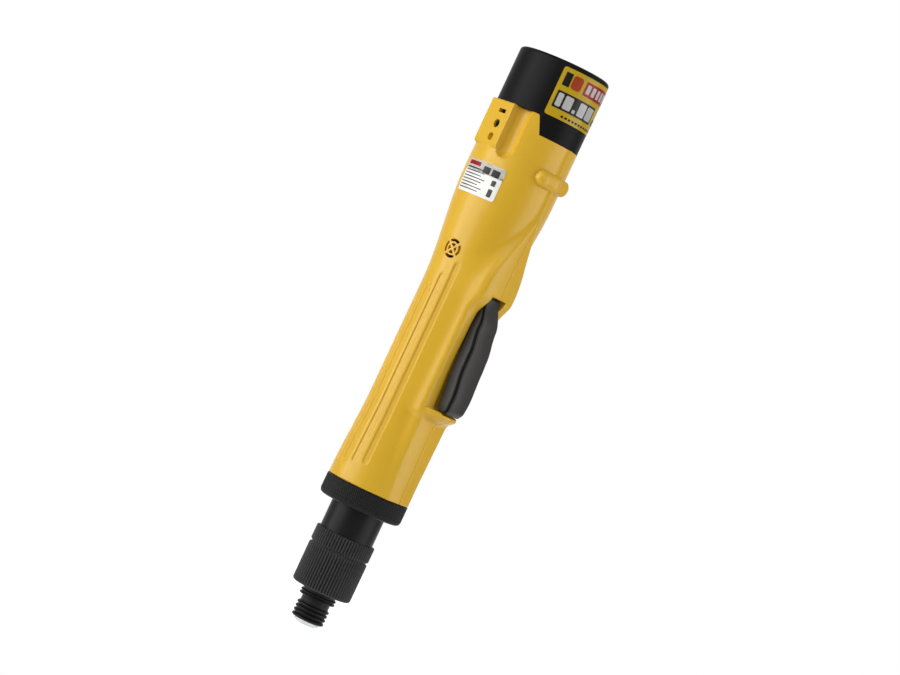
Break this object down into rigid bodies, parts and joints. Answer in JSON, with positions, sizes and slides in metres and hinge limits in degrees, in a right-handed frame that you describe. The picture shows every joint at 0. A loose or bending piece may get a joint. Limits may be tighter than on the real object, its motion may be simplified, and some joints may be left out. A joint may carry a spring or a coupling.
{
  "type": "electric torque screwdriver",
  "caption": "Straight battery screwdriver with a lever trigger, an adjustable torque clutch and a quick-change bit holder.",
  "frame": {"origin": "centre of the knurled clamp ring, on the spindle axis", "axes": "+Z along the spindle axis towards the battery, +X towards the trigger; the shells meet on y = 0"},
  "size_m": [0.0481, 0.041, 0.2611],
  "materials": {
    "housing": "satin moulded",
    "battery_black": "satin moulded",
    "trigger_grey": "satin moulded",
    "black_metal": "satin black oxide",
    "steel": "ground",
    "gear_steel": "machined",
    "bronze": "sintered",
    "motor_steel": "zinc plated",
    "magnet": "sintered",
    "black_plastic": "moulded",
    "copper": "bright",
    "contact_brass": "plated",
    "board_green": "solder mask",
    "plunger_red": "moulded",
    "plate_white": "printed film",
    "label_yellow": "printed film",
    "cell_wrap": "shrink wrap"
  },
  "bodies": {
    "root": {"housing_left": "housing", "housing_right": "housing", "housing_screws": "steel", "clamp_ring": "black_metal", "nose_tube": "black_metal", "gear_case": "gear_steel", "front_bearing": "bronze", "motor_plate": "steel", "motor_can": "motor_steel", "motor_magnets": "magnet", "motor_cap": "black_plastic", "motor_brushes": "black_plastic", "trigger_pin": "steel", "trigger_switch": "black_plastic", "direction_switch": "black_plastic", "control_board": "board_green", "buzzer": "black_plastic", "contact_block": "black_plastic", "contact_blades": "contact_brass", "rating_plate": "plate_white", "clutch_spring": "steel"},
    "torque_pusher": {"thrust_washer": "steel", "push_pins": "steel", "spring_seat": "steel"},
    "torque_nut": {"torque_nut": "black_metal"},
    "output": {"spindle": "steel", "bit_ball": "steel", "sleeve_clip": "steel", "retaining_ring": "steel", "clutch_plate": "gear_steel", "clutch_balls": "steel", "carrier_b": "gear_steel", "sleeve_spring": "steel"},
    "chuck_sleeve": {"chuck_sleeve": "black_metal"},
    "carrier_a": {"carrier_a": "gear_steel"},
    "rotor": {"rotor": "gear_steel", "rotor_pinion": "gear_steel", "commutator": "copper"},
    "trigger": {"trigger": "trigger_grey"},
    "switch_plunger": {"switch_plunger": "plunger_red"},
    "direction_knob": {"direction_knob": "black_plastic"},
    "battery": {"battery_case": "battery_black", "battery_cap": "battery_black", "battery_cells": "cell_wrap", "battery_terminals": "contact_brass", "battery_label": "label_yellow"},
    "planet_a1": {"planet_a1": "gear_steel"},
    "planet_a2": {"planet_a2": "gear_steel"},
    "planet_a3": {"planet_a3": "gear_steel"},
    "planet_b1": {"planet_b1": "gear_steel"},
    "planet_b2": {"planet_b2": "gear_steel"},
    "planet_b3": {"planet_b3": "gear_steel"}
  },
  "joints": [
    {"name": "rotor_spin", "type": "hinge", "parent": "root", "child": "rotor", "pos_m": [0, 0, 0.03], "axis": [0, 0, 1], "continuous": true},
    {"name": "carrier_a_spin", "type": "hinge", "parent": "root", "child": "carrier_a", "pos_m": [0, 0, 0.01], "axis": [0, 0, 1], "continuous": true},
    {"name": "spindle_spin", "type": "hinge", "parent": "root", "child": "output", "pos_m": [0, 0, -0.05], "axis": [0, 0, 1], "continuous": true},
    {"name": "sleeve_slide", "type": "slide", "parent": "output", "child": "chuck_sleeve", "axis": [0, 0, 1], "range_m": [0, 0.0022], "stiffness_N_per_m": 1200, "springref_m": -0.002, "deforming": ["sleeve_spring"]},
    {"name": "torque_travel", "type": "slide", "parent": "root", "child": "torque_pusher", "axis": [0, 0, 1], "range_m": [-0.0015, 0.00525], "deforming": ["clutch_spring"]},
    {"name": "torque_turn", "type": "hinge", "parent": "torque_pusher", "child": "torque_nut", "pos_m": [0, 0, -0.03], "axis": [0, 0, 1], "range_deg": [-360, 1260]},
    {"name": "trigger_press", "type": "hinge", "parent": "root", "child": "trigger", "pos_m": [0.0175, 0, 0.0959], "axis": [0, 1, 0], "range_deg": [0, 4], "stiffness_Nm_per_rad": 0.4, "springref_deg": -14.32},
    {"name": "plunger_slide", "type": "slide", "parent": "root", "child": "switch_plunger", "axis": [-1, 0, 0], "range_m": [0, 0.00088]},
    {"name": "direction_slide", "type": "slide", "parent": "root", "child": "direction_knob", "axis": [0, 0, 1], "range_m": [-0.0015, 0.0015]},
    {"name": "battery_slide", "type": "slide", "parent": "root", "child": "battery", "axis": [0, 0, 1], "range_m": [0, 0.046]},
    {"name": "planet_a1_spin", "type": "hinge", "parent": "carrier_a", "child": "planet_a1", "pos_m": [0.0075, 0, 0.01], "axis": [0, 0, 1], "continuous": true},
    {"name": "planet_a2_spin", "type": "hinge", "parent": "carrier_a", "child": "planet_a2", "pos_m": [-0.00375, 0.0065, 0.01], "axis": [0, 0, 1], "continuous": true},
    {"name": "planet_a3_spin", "type": "hinge", "parent": "carrier_a", "child": "planet_a3", "pos_m": [-0.00375, -0.0065, 0.01], "axis": [0, 0, 1], "continuous": true},
    {"name": "planet_b1_spin", "type": "hinge", "parent": "output", "child": "planet_b1", "pos_m": [0.0075, 0, 0.01], "axis": [0, 0, 1], "continuous": true},
    {"name": "planet_b2_spin", "type": "hinge", "parent": "output", "child": "planet_b2", "pos_m": [-0.00375, 0.0065, 0.01], "axis": [0, 0, 1], "continuous": true},
    {"name": "planet_b3_spin", "type": "hinge", "parent": "output", "child": "planet_b3", "pos_m": [-0.00375, -0.0065, 0.01], "axis": [0, 0, 1], "continuous": true}
  ],
  "couplings": [
    {"joint": "carrier_a_spin", "follows": "rotor_spin", "ratio": 0.2},
    {"joint": "spindle_spin", "follows": "rotor_spin", "ratio": 0.04},
    {"joint": "torque_turn", "follows": "torque_travel", "rad_per_m": 4188.8},
    {"joint": "plunger_slide", "follows": "trigger_press", "m_per_rad": 0.0119},
    {"joint": "planet_a1_spin", "follows": "rotor_spin", "ratio": -0.53333},
    {"joint": "planet_a2_spin", "follows": "rotor_spin", "ratio": -0.53333},
    {"joint": "planet_a3_spin", "follows": "rotor_spin", "ratio": -0.53333},
    {"joint": "planet_b1_spin", "follows": "rotor_spin", "ratio": -0.10667},
    {"joint": "planet_b2_spin", "follows": "rotor_spin", "ratio": -0.10667},
    {"joint": "planet_b3_spin", "follows": "rotor_spin", "ratio": -0.10667}
  ]
}
